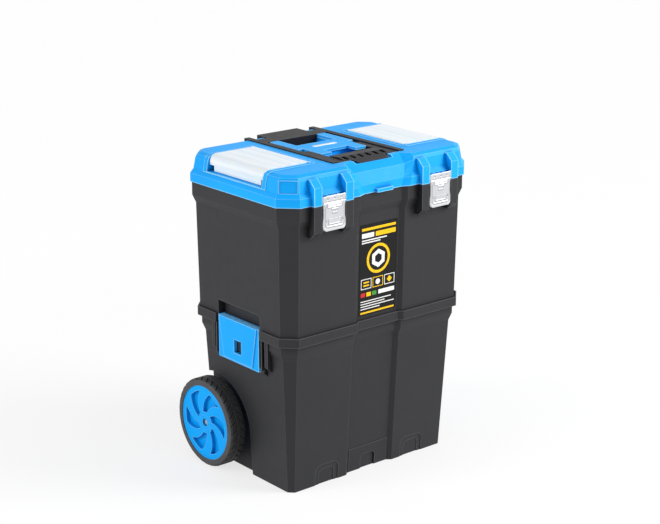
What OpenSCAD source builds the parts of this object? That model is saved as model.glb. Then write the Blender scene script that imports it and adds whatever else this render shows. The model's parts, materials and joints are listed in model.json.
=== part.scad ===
// Two-tier rolling tool case: an upper box with a hinged organiser lid stands in the rim of a wheeled bin.
// Origin on the floor at the middle of the case, +X to the right seen from the front, +Y to the rear, +Z up.

/* [Case] */
// Width of the upper box at its foot
case_w = 440; // [430:1:470]
// Depth of the upper box at its foot
case_d = 295; // [290:1:320]
// Chamfer of the vertical corners at the foot of the upper box
corner_c = 24; // [20:1:28]
// Wall thickness of the moulded shells
wall = 3; // [2.5:0.1:3.4]
// Depth of the set-back centre panel down the front
panel_set = 7; // [4:0.5:8]
// Width of the flat part of the centre panel
panel_w = 100; // [96:1:108]
// Width of each slanted side of the centre panel
panel_slant = 9; // [8:1:14]

/* [Lower bin] */
// Height of the bin to the top of its rim
bin_h = 317; // [310:1:340]
// Height of the rim band
rim_h = 18; // [16:1:22]
// Height of the plain neck under the rim
neck_h = 16; // [12:1:20]
// Height of the slanted step under the neck
waist_h = 16; // [12:1:20]
// How far the foot stands inside the upper box's foot line
foot_in = 24; // [20:1:26]
// How far the wall stands inside that line below the step
waist_in = 9; // [8:0.5:11]
// How far the neck stands inside that line
neck_in = 2.5; // [2:0.1:3]
// How far the rim stands outside that line
rim_out = 5; // [4.5:0.1:6]
// Wall thickness of the rim
rim_t = 2.7; // [2.2:0.1:3]
// Thickness of the bin's floor
floor_t = 3.5; // [3:0.1:5]
// Depth of the moulded foot arches
arch_d = 2.4; // [1:0.1:2.4]
// Width of a foot arch
arch_w = 36; // [30:1:40]
// Height of a foot arch
arch_h = 30; // [24:1:36]
// Distance of the outer arches from the middle
arch_x = 109; // [104:1:114]

/* [Upper box] */
// How deep the box sits in the rim
nest_h = 14; // [12:0.5:15]
// Height of the box wall from its foot to the step
box_wall_h = 220; // [200:1:240]
// Height of the slanted step under the band
box_step_h = 15; // [12:1:18]
// Height of the band under the lid
band_h = 25.4; // [24:0.2:28]
// Height of the lip that stands up inside the lid
lip_h = 13.6; // [10:0.2:14]
// How far the wall leans out over its height
box_flare = 4; // [2:0.5:5]
// How far the band stands outside the foot line
band_out = 10.5; // [9.5:0.1:11]
// How far the lip stands outside the foot line
lip_out = 6.5; // [5.5:0.1:7]

/* [Lid] */
// How far the lid's skirt stands outside the foot line
skirt_out = 13.4; // [13:0.1:14.5]
// Height of the skirt
skirt_h = 16.8; // [16:0.2:18]
// Height of the sloping ledge over the skirt
ledge_h = 7.8; // [6:0.2:9]
// How far the lid's side stands outside the foot line above the ledge
side_out = 7.4; // [7:0.1:8]
// Height of the lid's side
side_h = 21.4; // [21:0.2:24]
// How far the side stands outside the foot line at its top
crown_out = 3.5; // [3:0.1:4]
// Height of the rounded crown
crown_h = 10; // [9:0.5:12]
// How far the flat top stands inside the foot line
top_in = 8; // [6:0.5:9]
// Depth of the bed for the black panel in the lid's top
bed_d = 4; // [3.5:0.1:4.5]

/* [Organisers] */
// Distance of the organiser pocket from the middle
org_x = 117; // [112:1:120]
// Length of the organiser pocket from front to rear
org_l = 166; // [150:1:172]
// Height of the pocket floor over the lid's ledge
org_up = 2.4; // [2:0.1:4]
// Thickness of the clear cover
cover_t = 3; // [2.6:0.1:3.2]
// Radius of the cover's rounded outer edge
cover_r = 14; // [12:0.5:16]
// Length of the cover's hanging flap
flap_l = 142; // [130:1:146]

/* [Handle] */
// Width between the outer sides of the black panel
deck_w = 174; // [172:1:178]
// Width of the panel's rails
rail_w = 12; // [10:0.5:12]
// Height of the panel over the lid's top
deck_up = 2.5; // [2:0.1:3]
// Distance of the panel's front end from the middle
deck_front = 114; // [112:1:116]
// Reach of the panel's rear end behind the upper box
deck_over = 12.5; // [10.5:0.5:16.5]
// Width of a handle arm
arm_w = 14; // [12:0.5:14]
// Thickness of a handle arm
arm_t = 12; // [10:0.5:12]
// Distance of the grip's nose from the middle
grip_front = 128.5; // [127:0.5:130]
// Distance of the grip's rear edge from the middle
grip_rear = 66; // [64:1:68]
// Length of the ribbed part of the grip
grip_l = 110; // [104:1:114]
// Width of the nose in front of the grip
nose_w = 88; // [84:1:96]
// Number of grooves across the grip
grip_n = 6; // [4:1:8]
// Diameter of the handle's pivot rod
rod_d = 6; // [5:0.5:7]
// Distance of the pivot rod behind the middle
rod_y = 4; // [3:0.5:5]

/* [Latches] */
// Distance of a latch from the middle
latch_x = 131; // [128:1:133]
// Width of a latch
latch_w = 53; // [48:1:54]
// Height of a latch plate
latch_h = 64; // [60:1:66]
// Sheet thickness of the latch
latch_t = 1.5; // [1.2:0.1:1.6]
// Diameter of the latch pins
latch_pin_d = 3; // [2.5:0.1:3.2]
// Length of the latch link between its pins
link_l = 24; // [24:0.5:25]
// Width of the moulded cheeks beside a latch
cheek_w = 18; // [16:1:20]
// How far the cheeks stand in front of the lid's skirt
cheek_out = 9; // [8.5:0.1:10]

/* [Side clips] */
// Width of a side clip
clip_w = 124; // [118:1:130]
// Thickness of the clip plate
clip_t = 4.5; // [4:0.1:5]
// Height of the clip over its pin
clip_h = 80; // [76:1:84]
// Diameter of the clip pin
clip_pin_d = 4; // [3.5:0.1:4.5]
// Depth of the finger recess in the upper box
finger_d = 14; // [12:0.5:15]
// Height of the finger recess over the rim
finger_h = 27; // [22:1:32]

/* [Wheels] */
// Outer diameter of a tyre
tyre_d = 177; // [170:1:180]
// Width of a tyre
tyre_w = 36; // [32:1:38]
// Thickness of the tyre from the disc outwards
tyre_t = 14; // [12:0.5:16]
// Distance of the axle behind the middle
axle_y = 91; // [88:1:94]
// Diameter of the axle
axle_d = 10; // [8:0.5:12]
// Depth of the wheel wells at the floor
well_d = 11; // [10:0.5:14]
// Room around a tyre in its well
well_gap = 8.5; // [7:0.5:10]

/* [Hidden] */
$fn = 64;
over = 1;
fit = 0.05;
seat_gap = 0.2;
lid_gap = 0.6;
swing_gap = 1;
running_gap = 0.3;

// Heights from the floor up
z_rim = bin_h - rim_h;
z_neck = z_rim - neck_h;
z_waist = z_neck - waist_h;
z_seat = bin_h - nest_h;
z_box = z_seat + seat_gap;
z_step = z_box + box_wall_h;
z_band = z_step + box_step_h;
z_shoulder = z_band + band_h;
z_lip = z_shoulder + lip_h;
z_lid = z_shoulder + lid_gap;
z_ledge = z_lid + skirt_h;
z_side = z_ledge + ledge_h;
z_crown = z_side + side_h;
z_top = z_crown + crown_h;
z_bed = z_top - bed_d;
z_deck = z_top + deck_up;

// Plan sizes: half width, half depth and corner chamfer at an offset from the foot line of the upper box
function half_w(o) = case_w / 2 + o;
function half_d(o) = case_d / 2 + o;
function chamfer(o) = corner_c + o * (2 - sqrt(2));
function mix(a, b, t) = a + (b - a) * t;

// One level of a shell: an eight-sided outline with a centre panel set back in its front, flat over
// half a width each way and with slanted sides
function ring(o, z, half, slant, set) = [
    [-half_w(o), -half_d(o) + chamfer(o), z],
    [-half_w(o) + chamfer(o), -half_d(o), z],
    [-half - slant, -half_d(o), z],
    [-half, -half_d(o) + set, z],
    [half, -half_d(o) + set, z],
    [half + slant, -half_d(o), z],
    [half_w(o) - chamfer(o), -half_d(o), z],
    [half_w(o), -half_d(o) + chamfer(o), z],
    [half_w(o), half_d(o) - chamfer(o), z],
    [half_w(o) - chamfer(o), half_d(o), z],
    [-half_w(o) + chamfer(o), half_d(o), z],
    [-half_w(o), half_d(o) - chamfer(o), z]
];
function level_ring(l) = len(l) > 2 ? ring(l[0], l[1], l[2], l[3], l[4]) :
    ring(l[0], l[1], panel_w / 2, panel_slant, panel_set);
ring_n = len(level_ring([0, 0]));

// The end of a shell in three parts: left, middle behind the centre panel, and right
ring_caps = [[0, 1, 2, 3, 10, 11], [3, 4, 9, 10], [4, 5, 6, 7, 8, 9]];

// Solid through a list of levels, each given as [offset, height], with its own centre panel after that
module loft(levels) {
    last = (len(levels) - 1) * ring_n;
    polyhedron(
        points = [for (l = levels) each level_ring(l)],
        faces = concat(
            ring_caps,
            [for (k = [0:len(levels) - 2]) for (i = [0:ring_n - 1])
                let (a = k * ring_n, j = (i + 1) % ring_n)
                [a + i, a + ring_n + i, a + ring_n + j, a + j]],
            [for (cap = ring_caps) [for (i = [len(cap) - 1:-1:0]) last + cap[i]]]));
}

// Child on the right, mirrored to the left for a negative side
module on_side(side) {
    if (side < 0)
        mirror([1, 0, 0]) children();
    else
        children();
}

module both_sides() {
    for (side = [-1, 1])
        on_side(side) children();
}

// Outline in Y and Z drawn out along X from x0 by w
module along_x(x0, w) {
    translate([x0, 0, 0])
        rotate([90, 0, 90])
            linear_extrude(w) children();
}

// Outline in X and Z drawn out along Y, centred on the middle, over a length l
module along_y(l) {
    translate([0, l / 2, 0])
        rotate([90, 0, 0])
            linear_extrude(l) children();
}

// Round bar along X from x0 to x1
module bar_x(x0, x1, y, z, d) {
    translate([x0, y, z])
        rotate([0, 90, 0])
            cylinder(h = x1 - x0, d = d);
}

// Round bar along Y, centred on the middle
module bar_y(l, x, z, d) {
    translate([x, l / 2, z])
        rotate([90, 0, 0])
            cylinder(h = l, d = d);
}

// Box between two corners
module span(a, b) {
    translate(a)
        cube(b - a);
}

// Wheels, axle and wells
tyre_r = tyre_d / 2;
disc_d = tyre_d - 2 * tyre_t;
well_r = tyre_r + well_gap;
well_x = half_w(-foot_in) - well_d;
stub_l = 17.5;
stub_d = 28;
washer_t = 1;
washer_d = 24;
hub_in = well_x + stub_l + washer_t + running_gap;
tyre_out = hub_in + tyre_w;
hub_d = 32;
hub_set = 1.5;
disc_set = 2;
axle_set = 3;
hub_out = tyre_out - hub_set;
hub_well_d = 16;
hub_well_l = 8;
nut_d = 15;
nut_t = 1.6;
axle_end = hub_out - axle_set;
wheel_fit = 0.05;
tunnel_w = 26;
tunnel_wall = 3;
tunnel_boss = 12;
tunnel_rib = 6;
tunnel_rib_x = 60;

module well(grow, below) {
    far = half_w(rim_out);
    intersection() {
        union() {
            bar_x(well_x - grow, far, axle_y, tyre_r, 2 * (well_r + grow));
            span([well_x - grow, axle_y - well_r - grow, -below], [far, case_d, tyre_r]);
        }
        span([0, -case_d, -below], [far, case_d, bin_h]);
    }
}

module tunnel() {
    reach = well_x;
    span([-reach, axle_y - tunnel_w / 2, 0], [reach, axle_y + tunnel_w / 2, tyre_r]);
    bar_x(-reach, reach, axle_y, tyre_r, tunnel_w);
}

module tunnel_cut() {
    inner_w = tunnel_w - 2 * tunnel_wall;
    end = well_x - tunnel_boss;
    rib_in = tunnel_rib_x - tunnel_rib / 2;
    rib_out = tunnel_rib_x + tunnel_rib / 2;
    for (x = [[-end, -rib_out], [-rib_in, rib_in], [rib_out, end]]) {
        span([x[0], axle_y - inner_w / 2, -over], [x[1], axle_y + inner_w / 2, tyre_r]);
        bar_x(x[0], x[1], axle_y, tyre_r, inner_w);
    }
}

// Side clips
clip_flush = 0.5;
clip_pin_in = 7.5;
clip_under = 4;
clip_out = half_w(rim_out) - clip_flush;
clip_in = clip_out - clip_t;
clip_pin_x = clip_out - clip_pin_in;
clip_pin_z = bin_h - clip_flush - clip_h;
clip_top = clip_pin_z + clip_h;
clip_low = clip_pin_z - clip_under;
clip_barrel_d = 9;
clip_gap = 6;
clip_rib_up = 2;
finger_gap = 2;
clip_rib_t = 3;
clip_pad_gap = 6;
clip_pad_w = 9;
clip_pad_up = 12;
hook_t = 3;
hook_l = 15.5;
clip_hole_w = 26;
clip_hole_h = 30;
clip_hole_z = 29;
clip_face_t = 2.5;
clip_face_top = 116;
clip_face_low = 88;
clip_face_up = 4;
sleeve_t = 2;
sleeve_d = 3;
boss_gap = 2.5;
catch_gap = 0.3;
catch_w = 80;
catch_h = 4;
catch_drop = 3;
catch_top = clip_top - hook_t - catch_drop;
bay_w = clip_w + 2 * clip_gap;

// Foot of the bin
arch_rim = 10;
arch_rim_d = 1.3;
plinth_t = 1;
plinth_h = 49;

// Outer half width of the bin at a height below its rim
function bin_x(z) =
    z < z_waist ? half_w(mix(-foot_in, -waist_in, z / z_waist)) :
    z < z_neck ? half_w(mix(-waist_in, -neck_in, (z - z_waist) / waist_h)) : half_w(-neck_in);

// Upright rib beside a clip, from the wall out to reach
module clip_rib(y, t, reach, low) {
    foot = bin_x(low) - wall / 2;
    run = reach - bin_x(low);
    translate([0, y + t / 2, 0])
        along_y(t)
            polygon([
                [foot, low], [bin_x(low), low], [reach, low + run],
                [reach, z_rim + over], [half_w(-neck_in) - wall / 2, z_rim + over],
                [half_w(-neck_in) - wall / 2, z_neck], [half_w(-waist_in) - wall / 2, z_waist]
            ]);
}

module clip_seat() {
    low = clip_low - clip_barrel_d;
    for (s = [-1, 1]) {
        rib_y = s * (bay_w / 2 + clip_rib_t / 2) - clip_rib_t / 2;
        pad_y = s * (bay_w / 2 + clip_rib_t + clip_pad_gap + clip_pad_w / 2) - clip_pad_w / 2;
        clip_rib(rib_y, clip_rib_t, clip_in + clip_rib_up, low);
        clip_rib(pad_y, clip_pad_w, half_w(0), low + clip_pad_up);
    }
    boss_w = clip_hole_w - 2 * (sleeve_t + boss_gap);
    boss_low = clip_pin_z + clip_hole_z - clip_hole_h / 2 + sleeve_t + boss_gap;
    boss_top = clip_pin_z + clip_hole_z + clip_hole_h / 2 - sleeve_t - boss_gap;
    span([bin_x(boss_low) - wall / 2, -boss_w / 2, boss_low], [clip_pin_x, boss_w / 2, boss_top]);
}

// Child drawn in X and Z on the bin's sloping front face, from a depth d outwards over t
module on_front(set, d, t) {
    slope = atan2(foot_in - waist_in, z_waist);
    translate([0, -half_d(-foot_in) + set, 0])
        rotate([slope, 0, 0])
            translate([0, d, 0])
                rotate([90, 0, 0])
                    linear_extrude(t) children();
}

module arch_outline(w, h) {
    r = w / 4;
    translate([-w / 2, -over])
        square([w, h - r + over]);
    translate([-w / 2 + r, 0])
        square([w - 2 * r, h]);
    for (s = [-1, 1])
        translate([s * (w / 2 - r), h - r])
            circle(r = r);
}

module foot_arches() {
    on_front(panel_set, arch_d, arch_d + over)
        arch_outline(arch_w, arch_h);
    for (s = [-1, 1]) {
        on_front(0, arch_d, arch_d + over)
            translate([s * arch_x, 0])
                arch_outline(arch_w, arch_h);
        on_front(0, arch_rim_d, arch_rim_d + over)
            translate([s * arch_x, 0])
                arch_outline(arch_w + 2 * arch_rim, arch_h + arch_rim);
    }
}

// Backs of the arches inside the bin, which keep the thickness of its wall there
module arch_backs() {
    for (spot = [[-arch_x, 0], [0, panel_set], [arch_x, 0]])
        on_front(spot[1], arch_d + wall, arch_d + wall)
            translate([spot[0], 0])
                arch_outline(arch_w + 2 * wall, arch_h + wall);
}

module plinth() {
    slope = atan2(foot_in - waist_in, z_waist);
    translate([0, -half_d(-foot_in) + panel_set, 0])
        rotate([slope, 0, 0])
            translate([-panel_w / 2 + over, -plinth_t, plinth_t])
                cube([panel_w - 2 * over, plinth_t + wall / 2, plinth_h - plinth_t]);
}

module lower_bin() {
    color("#3d3e42")
        difference() {
            union() {
                difference() {
                    loft([[-foot_in, 0], [-waist_in, z_waist], [-neck_in, z_neck],
                        [-neck_in, z_rim], [rim_out, z_rim], [rim_out, bin_h]]);
                    difference() {
                        loft([[-foot_in - wall, floor_t], [-waist_in - wall, z_waist],
                            [-neck_in - wall, z_neck], [-neck_in - wall, z_seat],
                            [rim_out - rim_t, z_seat], [rim_out - rim_t, bin_h + over]]);
                        both_sides() well(wall, 0);
                        tunnel();
                        arch_backs();
                    }
                    both_sides() well(0, over);
                }
                both_sides() clip_seat();
                plinth();
                both_sides() bar_x(well_x - wall, well_x + stub_l, axle_y, tyre_r, stub_d);
            }
            tunnel_cut();
            both_sides() bar_x(0, well_x + stub_l + over, axle_y, tyre_r, axle_d + 2 * fit);
            both_sides()
                span([half_w(-neck_in), -bay_w / 2, z_rim - over],
                    [half_w(rim_out) + over, bay_w / 2, bin_h + over]);
            both_sides() bar_y(bay_w + 2 * clip_rib_t + over, clip_pin_x, clip_pin_z, clip_pin_d + 2 * fit);
            foot_arches();
        }
}

module axle() {
    color("#b9bcc0") bar_x(-axle_end, axle_end, axle_y, tyre_r, axle_d);
}

module axle_push_nuts() {
    x = hub_out - hub_well_l + running_gap;
    color("#9a9da1")
        both_sides()
            difference() {
                bar_x(x, x + nut_t, axle_y, tyre_r, nut_d);
                bar_x(x - over, x + nut_t + over, axle_y, tyre_r, axle_d + 2 * fit);
            }
}

module wheel_washers() {
    x = well_x + stub_l;
    color("#a7aaae")
        both_sides()
            difference() {
                bar_x(x, x + washer_t, axle_y, tyre_r, washer_d);
                bar_x(x - over, x + washer_t + over, axle_y, tyre_r, axle_d + 2 * fit);
            }
}

// Wheel disc with its rim, web and hub, turned about its own axle
rim_lip_t = 5;
web_t = 5;
web_back = 9;
swirl_n = 6;
swirl_depth = 8;
swirl_edge = 11;
swirl_root = 6;
swirl_in = hub_d / 2 + swirl_root;
swirl_out = disc_d / 2 - swirl_edge;
swirl_bend = 46;
swirl_turn = 32;

// Curved pocket between two bent spokes: both edges are the same arc, one turned on from the other
module swirl() {
    intersection() {
        difference() {
            circle(r = swirl_out);
            circle(r = swirl_in);
        }
        difference() {
            translate([swirl_bend, 0])
                circle(r = swirl_bend);
            rotate(swirl_turn)
                translate([swirl_bend, 0])
                    circle(r = swirl_bend);
        }
    }
}

module wheel_rim(side) {
    disc_r = disc_d / 2;
    face = tyre_out - disc_set;
    color("#1a9cf0")
        on_side(side)
            translate([0, axle_y, tyre_r])
                rotate([0, 90, 0])
                    difference() {
                        union() {
                            translate([0, 0, hub_in + over])
                                cylinder(h = face - hub_in - over, r = disc_r);
                            translate([0, 0, hub_in])
                                cylinder(h = hub_out - hub_in, d = hub_d);
                        }
                        translate([0, 0, hub_in - over])
                            difference() {
                                cylinder(h = face - web_t - web_back - hub_in + over, r = disc_r - rim_lip_t);
                                cylinder(h = tyre_out, d = hub_d);
                            }
                        translate([0, 0, hub_in - over])
                            cylinder(h = tyre_out, d = axle_d + 2 * wheel_fit);
                        translate([0, 0, hub_out - hub_well_l])
                            cylinder(h = hub_well_l + over, d = hub_well_d);
                        translate([0, 0, face - swirl_depth])
                            linear_extrude(swirl_depth + over)
                                for (k = [0:swirl_n - 1])
                                    rotate(k * 360 / swirl_n) swirl();
                    }
}

tyre_shoulder = 5;

module tyre(side) {
    disc_r = disc_d / 2;
    half = tyre_w / 2 - tyre_shoulder;
    color("#35363a")
        on_side(side)
            translate([hub_in + tyre_w / 2, axle_y, tyre_r])
                rotate([0, 90, 0])
                    rotate_extrude()
                        difference() {
                            union() {
                                translate([disc_r + fit, -half - tyre_shoulder])
                                    square([tyre_r - disc_r - fit - tyre_shoulder, tyre_w]);
                                translate([disc_r + fit, -half])
                                    square([tyre_r - disc_r - fit, 2 * half]);
                                for (s = [-1, 1])
                                    translate([tyre_r - tyre_shoulder, s * half])
                                        circle(r = tyre_shoulder);
                            }
                            translate([0, -tyre_w])
                                square([disc_r + fit, 2 * tyre_w]);
                        }
}

module clip_pins() {
    color("#aeb1b5")
        both_sides() bar_y(bay_w + 2 * clip_rib_t - fit, clip_pin_x, clip_pin_z, clip_pin_d);
}

module side_clip(side) {
    hole_low = clip_pin_z + clip_hole_z - clip_hole_h / 2;
    hole_top = hole_low + clip_hole_h;
    clip_skin = clip_out - clip_face_t;
    color("#14a0f5")
        on_side(side)
            difference() {
                union() {
                    span([clip_in, -clip_w / 2, clip_low], [clip_skin, clip_w / 2, clip_top]);
                    translate([clip_in, 0, 0])
                        rotate([90, 0, 90])
                            linear_extrude(clip_t)
                                polygon([
                                    [-clip_face_low / 2, clip_low + clip_face_up],
                                    [clip_face_low / 2, clip_low + clip_face_up],
                                    [clip_face_top / 2, clip_top], [-clip_face_top / 2, clip_top]
                                ]);
                    span([clip_out - hook_l, -clip_w / 2, clip_top - hook_t],
                        [clip_skin, clip_w / 2, clip_top]);
                    bar_y(clip_w, clip_pin_x, clip_pin_z, clip_barrel_d);
                    span([clip_pin_x, -clip_w / 2, clip_low],
                        [clip_skin, clip_w / 2, clip_pin_z + clip_barrel_d / 2]);
                    span([clip_in - sleeve_d, -clip_hole_w / 2, hole_low],
                        [clip_out, clip_hole_w / 2, hole_top]);
                }
                span([clip_in - sleeve_d - over, -clip_hole_w / 2 + sleeve_t, hole_low + sleeve_t],
                    [clip_out + over, clip_hole_w / 2 - sleeve_t, hole_top - sleeve_t]);
                bar_y(clip_w + 2 * over, clip_pin_x, clip_pin_z, clip_pin_d + 2 * wheel_fit);
            }
}

// Latches: a link turns on a pin in the box's cheeks, and the lever turns on the link's upper pin
front_skirt = -half_d(skirt_out);
cheek_front = front_skirt - cheek_out;
lever_proud = 1;
lever_under = 0.8;
link_pin_in = 3.5;
link_lean = 3;
link_pin_drop = 16;
lever_front = cheek_front - lever_proud;
lever_back = lever_front + latch_t;
link_pin_y = lever_back + link_pin_in;
base_pin_y = link_pin_y + link_lean;
lever_top = z_ledge - lever_under;
link_pin_z = lever_top - link_pin_drop;
base_pin_z = link_pin_z - sqrt(link_l * link_l - link_lean * link_lean);
lever_low = lever_top - latch_h;
latch_gap = latch_w / 2 + 1.5 * swing_gap;
pin_grip = 4;
barrel_d = 6;
arm_in = 19;
arm_thick = 4;
flange_in = 24;
flange_h = 12;
claw_w = 6;
claw_pitch = 12;
claw_gap = 0.5;
tab_w = 52;
tab_r = 7;
waist_w = 49;
waist_top = 12;
waist_low = 20;
waist_up = 26;

module cheek_pair(low, top, bottom_run, top_run, back) {
    both_sides()
        for (x = [latch_x - latch_gap - cheek_w, latch_x + latch_gap])
            along_x(x, cheek_w)
                polygon([
                    [back, low], [cheek_front + bottom_run, low], [cheek_front, low + bottom_run],
                    [cheek_front, top - top_run], [cheek_front + top_run, top], [back, top]
                ]);
}

module latch_link(side) {
    color("#d2d5d8")
        on_side(side)
            difference() {
                union() {
                    bar_x(latch_x - arm_in - arm_thick, latch_x + arm_in + arm_thick,
                        base_pin_y, base_pin_z, barrel_d);
                    for (x = [latch_x - arm_in - arm_thick, latch_x + arm_in]) {
                        bar_x(x, x + arm_thick, link_pin_y, link_pin_z, barrel_d);
                        along_x(x, arm_thick)
                            polygon([
                                [base_pin_y - latch_t, base_pin_z], [base_pin_y + latch_t, base_pin_z],
                                [link_pin_y + latch_t, link_pin_z], [link_pin_y - latch_t, link_pin_z]
                            ]);
                    }
                }
                bar_x(latch_x - latch_w, latch_x + latch_w,
                    base_pin_y, base_pin_z, latch_pin_d + 2 * wheel_fit);
                bar_x(latch_x - latch_w, latch_x + latch_w,
                    link_pin_y, link_pin_z, latch_pin_d + 2 * fit);
            }
}

module latch_lever(side) {
    flange_out = flange_in + latch_t;
    color("#e4e6e8")
        on_side(side)
            difference() {
                union() {
                    translate([latch_x, lever_back, 0])
                        rotate([90, 0, 0])
                            linear_extrude(latch_t) {
                                polygon([
                                    [-latch_w / 2, lever_top],
                                    [latch_w / 2, lever_top],
                                    [latch_w / 2, lever_top - waist_top],
                                    [waist_w / 2, lever_top - waist_low],
                                    [waist_w / 2, lever_low + waist_up],
                                    [tab_w / 2, lever_low + 2 * tab_r],
                                    [tab_w / 2, lever_low + tab_r],
                                    [-tab_w / 2, lever_low + tab_r],
                                    [-tab_w / 2, lever_low + 2 * tab_r],
                                    [-waist_w / 2, lever_low + waist_up],
                                    [-waist_w / 2, lever_top - waist_low],
                                    [-latch_w / 2, lever_top - waist_top]
                                ]);
                                translate([-tab_w / 2 + tab_r, lever_low])
                                    square([tab_w - 2 * tab_r, 2 * tab_r]);
                                for (s = [-1, 1])
                                    translate([s * (tab_w / 2 - tab_r), lever_low + tab_r])
                                        circle(r = tab_r);
                            }
                    for (x = [latch_x - flange_out, latch_x + flange_in])
                        span([x, lever_back - latch_t / 2, link_pin_z - flange_h / 2],
                            [x + latch_t, link_pin_y + latch_pin_d, link_pin_z + flange_h / 2]);
                    for (k = [-1:1])
                        translate([latch_x + k * claw_pitch, 0, 0])
                            span([-claw_w / 2, lever_back - latch_t / 2, lever_top - latch_t],
                                [claw_w / 2, front_skirt - claw_gap, lever_top]);
                }
                bar_x(latch_x - latch_w, latch_x + latch_w,
                    link_pin_y, link_pin_z, latch_pin_d + 2 * wheel_fit);
            }
}

module latch_base_pins() {
    reach = latch_gap + pin_grip;
    color("#b4b7bb")
        both_sides() bar_x(latch_x - reach, latch_x + reach, base_pin_y, base_pin_z, latch_pin_d);
}

module latch_link_pin(side) {
    reach = flange_in + latch_t;
    color("#b4b7bb")
        on_side(side) bar_x(latch_x - reach, latch_x + reach, link_pin_y, link_pin_z, latch_pin_d);
}

// Lid hinge: box and lid knuckles on two pins behind the band
hinge_x = 64;
hinge_r = 5.5;
hinge_pin_d = 5;
hinge_y = half_d(skirt_out) + hinge_r;
hinge_drop = 4;
hinge_z = z_lid - hinge_drop;
knuckle_w = 14;
knuckle_mid = 26;
knuckle_gap = 0.4;
knuckle_drop = 14;

module box_knuckles() {
    for (x = [-knuckle_mid / 2 - knuckle_gap - knuckle_w, knuckle_mid / 2 + knuckle_gap]) {
        bar_x(hinge_x + x, hinge_x + x + knuckle_w, hinge_y, hinge_z, 2 * hinge_r);
        along_x(hinge_x + x, knuckle_w)
            polygon([
                [half_d(band_out) - wall / 2, hinge_z], [hinge_y, hinge_z], [hinge_y, hinge_z - hinge_r],
                [half_d(band_out) - wall / 2, hinge_z - knuckle_drop]
            ]);
    }
}

module lid_knuckle() {
    x = hinge_x - knuckle_mid / 2;
    bar_x(x, x + knuckle_mid, hinge_y, hinge_z, 2 * hinge_r);
    along_x(x, knuckle_mid)
        polygon([
            [half_d(skirt_out) - wall / 2, z_lid], [hinge_y, z_lid - over], [hinge_y + hinge_r, hinge_z],
            [hinge_y + hinge_r, z_lid], [half_d(skirt_out), z_lid + knuckle_drop],
            [half_d(skirt_out) - wall / 2, z_lid + knuckle_drop]
        ]);
}

module hinge_bores() {
    reach = knuckle_mid / 2 + knuckle_gap + knuckle_w + over;
    bar_x(hinge_x - reach, hinge_x + reach, hinge_y, hinge_z, hinge_pin_d + 2 * wheel_fit);
}

module lid_hinge_pins() {
    reach = knuckle_mid / 2 + knuckle_gap + knuckle_w;
    color("#b4b7bb")
        both_sides() bar_x(hinge_x - reach, hinge_x + reach, hinge_y, hinge_z, hinge_pin_d);
}

// Finger recess over a side clip
module finger_recess(grow, below) {
    w = clip_w + 2 * (finger_gap + grow);
    span([half_w(0) - finger_d - grow, -w / 2, z_box - below],
        [half_w(band_out), w / 2, bin_h + finger_h + grow]);
}

cheek_low = 19;
cheek_run = 10;

module upper_box() {
    color("#3d3e42")
        difference() {
            union() {
                difference() {
                    union() {
                        loft([[0, z_box], [box_flare, z_step], [band_out, z_band],
                            [band_out, z_shoulder], [lip_out, z_shoulder], [lip_out, z_lip]]);
                        cheek_pair(z_step - cheek_low, z_shoulder, cheek_run, 0, -half_d(-wall));
                    }
                    difference() {
                        loft([[-wall, z_box + wall], [box_flare - wall, z_step], [band_out - wall, z_band],
                            [band_out - wall, z_shoulder - 2 * wall], [lip_out - wall, z_shoulder - wall],
                            [lip_out - wall, z_lip + over]]);
                        both_sides() finger_recess(wall, 0);
                    }
                    both_sides() finger_recess(0, over);
                }
                both_sides() box_knuckles();
                both_sides()
                    span([half_w(0) - finger_d - wall / 2, -catch_w / 2, catch_top - catch_h],
                        [clip_out - hook_l - catch_gap, catch_w / 2, catch_top]);
            }
            both_sides() {
                bar_x(latch_x - latch_gap - pin_grip - over, latch_x + latch_gap + pin_grip + over,
                    base_pin_y, base_pin_z, latch_pin_d + 2 * fit);
                hinge_bores();
            }
        }
}

// Printed label on the centre panel, leaning with the wall
label_w = 94;
label_h = 178;
label_t = 0.4;
label_up = 21;

module front_label() {
    lean = atan2(box_flare, box_wall_h);
    color("#1e1e20")
        translate([0, -half_d(0) + panel_set, z_box])
            rotate([lean, 0, 0])
                translate([-label_w / 2, -label_t, label_up])
                    cube([label_w, label_t, label_h]);
}

// Lid: shell with two organiser pockets, a handle well and a hand hole behind the bridge
rod_drop = 5;
rail_gap = 2.5;
well_w = deck_w - 2 * (rail_w + rail_gap);
handle_w = well_w - 3 * swing_gap;
well_z = z_bed - arm_t - rod_drop;
well_front = -deck_front + swing_gap;
rod_z = z_bed - rod_drop;
bridge_step = rod_y + arm_t / 2 + swing_gap;
arm_gap = 2;
bridge_w = handle_w - 2 * (arm_w + arm_gap);
ear_in = 3;
bridge_ear = handle_w / 2 - ear_in;
hole_side = 7;
hole_w = bridge_w - 2 * hole_side;
hole_front = 40;
hole_rear = 97;
hole_drop = 4;
hole_z = z_side - hole_drop;
tub_t = 2.5;
bed_gap = 0.6;
notch_side = 1.5;
notch_w = nose_w + 2 * notch_side;
notch_drop = 4.5;
rim_w = 11;
rim_up = 1.3;
rim_r = 14;
pocket_z = z_side + org_up;
hasp_w = 38;
hasp_h = 7;
hasp_out = 7;
ear_l = 3.5;
ear_w = 5.5;
ear_up = 3.2;
cover_axis_in = 2;
cover_axis_x = org_x + cover_axis_in;
cover_axis_z = z_top + cover_t / 2;
org_pin_d = 2;
lid_cheek_run = 14;
cheek_over = 2;
corner_panel_w = 33;
corner_panel_h = 22;
corner_panel_up = 0.7;
corner_panel_d = 1.2;

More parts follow.
